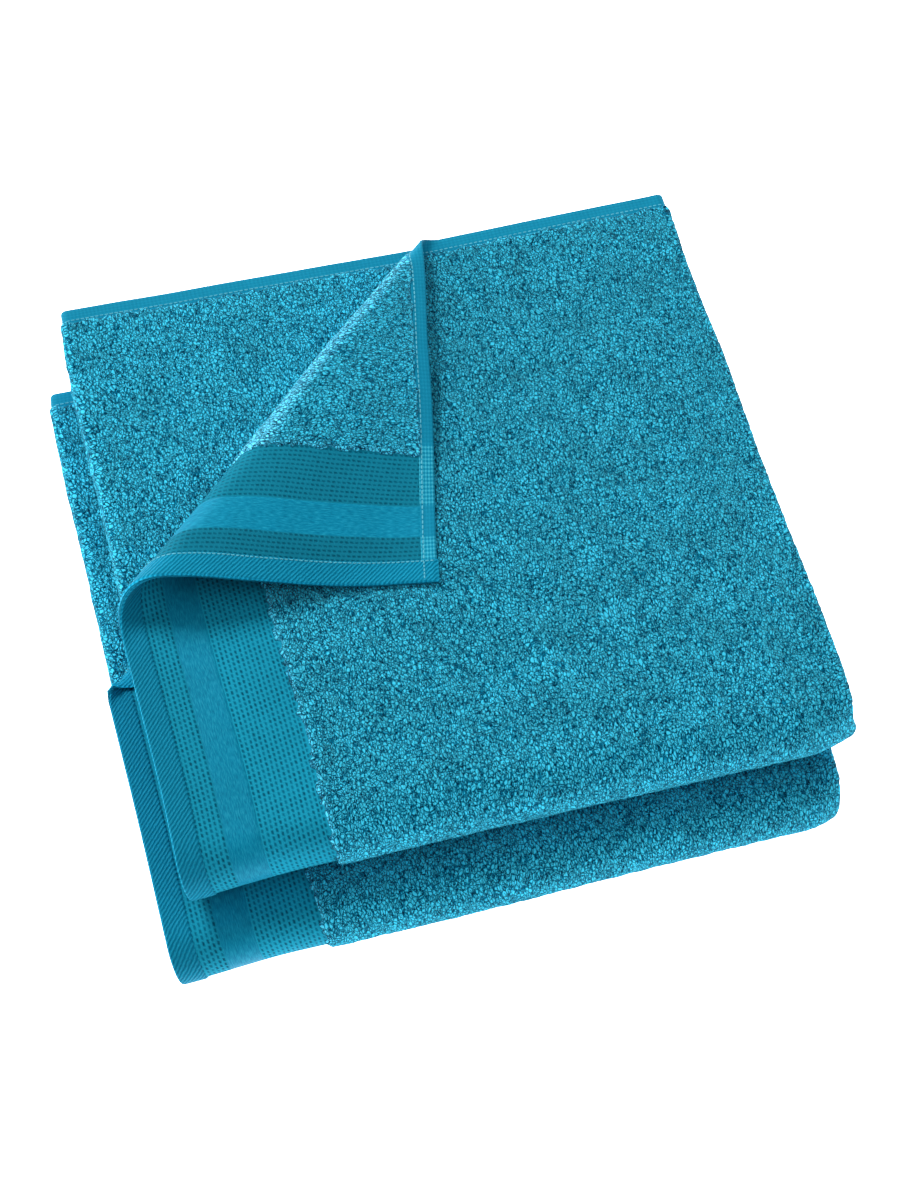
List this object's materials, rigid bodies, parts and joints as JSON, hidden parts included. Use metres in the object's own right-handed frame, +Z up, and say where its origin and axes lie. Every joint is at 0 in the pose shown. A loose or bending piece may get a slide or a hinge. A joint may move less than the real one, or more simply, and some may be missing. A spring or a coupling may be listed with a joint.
{
  "type": "bath towel set",
  "caption": "Folded and stacked turquoise terry bath towels with woven borders, each with a back corner turned back over a diagonal crease.",
  "frame": {"origin": "middle of the bounding box's underside, on the flat face that the set rests on", "axes": "+Z up through the stack, +X from the end hems to the right folds along the front rolls, +Y from the front rolls to the selvedges"},
  "size_m": [0.363, 0.374, 0.1016],
  "materials": {
    "terry_pile": "looped cotton pile, matt, fine crinkled loops about 1.8 mm apart",
    "waffle_weave": "flat cotton dobby weave with short raised floats in rows",
    "satin_weave": "smooth satin weave with a soft sheen",
    "hem_twill": "flat twill with diagonal ribs, doubled at the hem",
    "sewing_thread": "light polyester thread, soft gloss"
  },
  "bodies": {
    "lower_towel": {"lower_outer_terry": "terry_pile", "lower_outer_wide_band": "waffle_weave", "lower_outer_satin_band": "satin_weave", "lower_outer_narrow_band": "waffle_weave", "lower_outer_end_hem": "hem_twill", "lower_outer_hem_stitching": "sewing_thread", "lower_right_fold_outer": "terry_pile", "lower_second_panel": "terry_pile", "lower_left_fold": "terry_pile", "lower_third_panel": "terry_pile", "lower_right_fold_inner": "terry_pile", "lower_inner_terry": "terry_pile", "lower_inner_border": "waffle_weave", "lower_inner_end_hem": "hem_twill", "lower_inner_hem_stitching": "sewing_thread", "lower_side_hem_top": "hem_twill", "lower_side_hem_bottom": "hem_twill", "lower_side_stitching_top": "sewing_thread", "lower_side_stitching_bottom": "sewing_thread", "lower_crease_roll": "terry_pile", "lower_flap_terry": "terry_pile", "lower_flap_wide_band": "waffle_weave", "lower_flap_satin_band": "satin_weave", "lower_flap_narrow_band": "waffle_weave", "lower_flap_end_hem": "hem_twill", "lower_flap_side_hem": "hem_twill", "lower_flap_stitching": "sewing_thread"},
    "upper_towel": {"upper_outer_terry": "terry_pile", "upper_outer_wide_band": "waffle_weave", "upper_outer_satin_band": "satin_weave", "upper_outer_narrow_band": "waffle_weave", "upper_outer_end_hem": "hem_twill", "upper_outer_hem_stitching": "sewing_thread", "upper_right_fold_outer": "terry_pile", "upper_second_panel": "terry_pile", "upper_left_fold": "terry_pile", "upper_third_panel": "terry_pile", "upper_right_fold_inner": "terry_pile", "upper_inner_terry": "terry_pile", "upper_inner_border": "waffle_weave", "upper_inner_end_hem": "hem_twill", "upper_inner_hem_stitching": "sewing_thread", "upper_side_hem_top": "hem_twill", "upper_side_hem_bottom": "hem_twill", "upper_side_stitching_top": "sewing_thread", "upper_side_stitching_bottom": "sewing_thread", "upper_crease_roll": "terry_pile"},
    "corner_flap": {"upper_flap_terry": "terry_pile", "upper_flap_wide_band": "waffle_weave", "upper_flap_satin_band": "satin_weave", "upper_flap_narrow_band": "waffle_weave", "upper_flap_end_hem": "hem_twill", "upper_flap_side_hem": "hem_twill", "upper_flap_stitching": "sewing_thread"}
  },
  "joints": [
    {"name": "lift_off", "type": "slide", "parent": "lower_towel", "child": "upper_towel", "axis": [0, 0, 1], "range_m": [0, 0.15]},
    {"name": "corner_turn", "type": "hinge", "parent": "upper_towel", "child": "corner_flap", "pos_m": [-0.1685, -0.003, 0.08628], "axis": [-0.7411, -0.6706, 0.0325], "range_deg": [0, 178], "deforming": ["upper_crease_roll"]}
  ]
}
